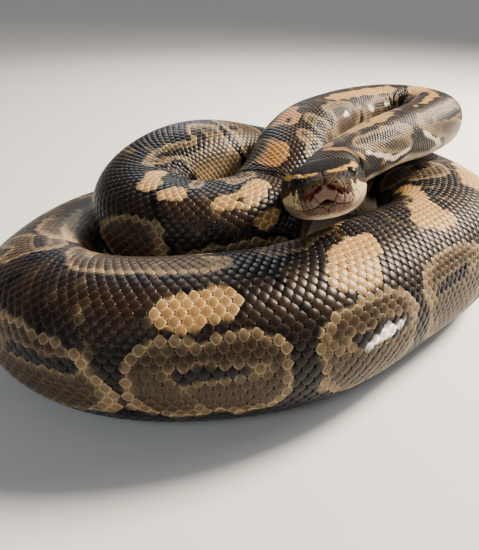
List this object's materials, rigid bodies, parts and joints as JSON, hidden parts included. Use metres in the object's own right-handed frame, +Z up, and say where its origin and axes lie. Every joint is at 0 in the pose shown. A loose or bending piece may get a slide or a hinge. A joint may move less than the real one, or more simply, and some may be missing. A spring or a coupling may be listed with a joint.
{
  "type": "coiled ball python",
  "caption": "Life-size still model of a coiled ball python resting on its belly, head raised over the outer coil.",
  "frame": {"origin": "centre of the bounding box seen from above, on the floor the belly rests on", "axes": "+Z up, the head looks towards -Y, the snake's left side of the head is on the +X side"},
  "size_m": [0.2247, 0.2222, 0.0748],
  "materials": {
    "body_skin": "smooth scales, satin",
    "head_skin": "smooth scales, satin",
    "lip_skin": "smooth scales, satin",
    "eye": "wet gloss"
  },
  "bodies": {
    "root": {"head": "head_skin", "lower_jaw": "lip_skin", "eye_left": "eye", "eye_right": "eye", "neck": "body_skin", "trunk_1": "body_skin", "trunk_2": "body_skin", "trunk_3": "body_skin", "trunk_4": "body_skin", "trunk_5": "body_skin", "trunk_6": "body_skin", "trunk_7": "body_skin", "trunk_8": "body_skin", "tail": "body_skin"}
  },
  "joints": []
}
